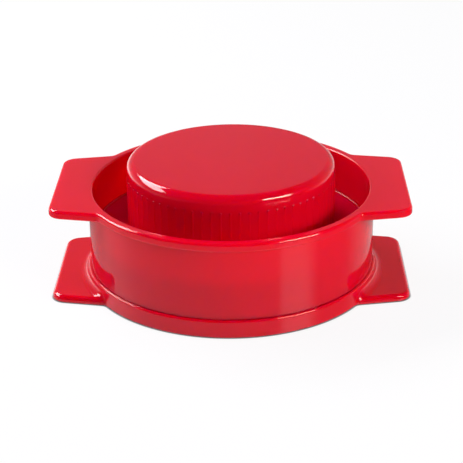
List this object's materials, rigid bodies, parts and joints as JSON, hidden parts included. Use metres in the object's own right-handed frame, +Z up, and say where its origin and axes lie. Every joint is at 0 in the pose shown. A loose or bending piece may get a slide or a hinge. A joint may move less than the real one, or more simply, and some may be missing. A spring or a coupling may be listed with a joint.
{
  "type": "burger press",
  "caption": "Hand burger press: a round mould ring with flat side handles stands in a low-rimmed base tray, and a plunger with a wide ribbed knob presses a patty inside the ring.",
  "frame": {"origin": "centre of the underside of the base tray, on the axis of the round pieces", "axes": "+X along the handles to the right of the picture, +Y away from the camera, +Z up along the travel of the ring and plunger"},
  "size_m": [0.1534, 0.1282, 0.0541],
  "materials": {
    "tray_plastic": "polished moulded red plastic",
    "ring_plastic": "polished moulded red plastic",
    "plunger_plastic": "polished moulded red plastic",
    "plate_plastic": "polished moulded red plastic"
  },
  "bodies": {
    "base": {"base_tray": "tray_plastic"},
    "ring": {"mould_ring": "ring_plastic"},
    "plunger": {"plunger_shell": "plunger_plastic", "press_plate": "plate_plastic"}
  },
  "joints": [
    {"name": "ring_lift", "type": "slide", "parent": "base", "child": "ring", "axis": [0, 0, 1], "range_m": [0, 0.07]},
    {"name": "plunger_lift", "type": "slide", "parent": "base", "child": "plunger", "axis": [0, 0, 1], "range_m": [0, 0.06]}
  ]
}
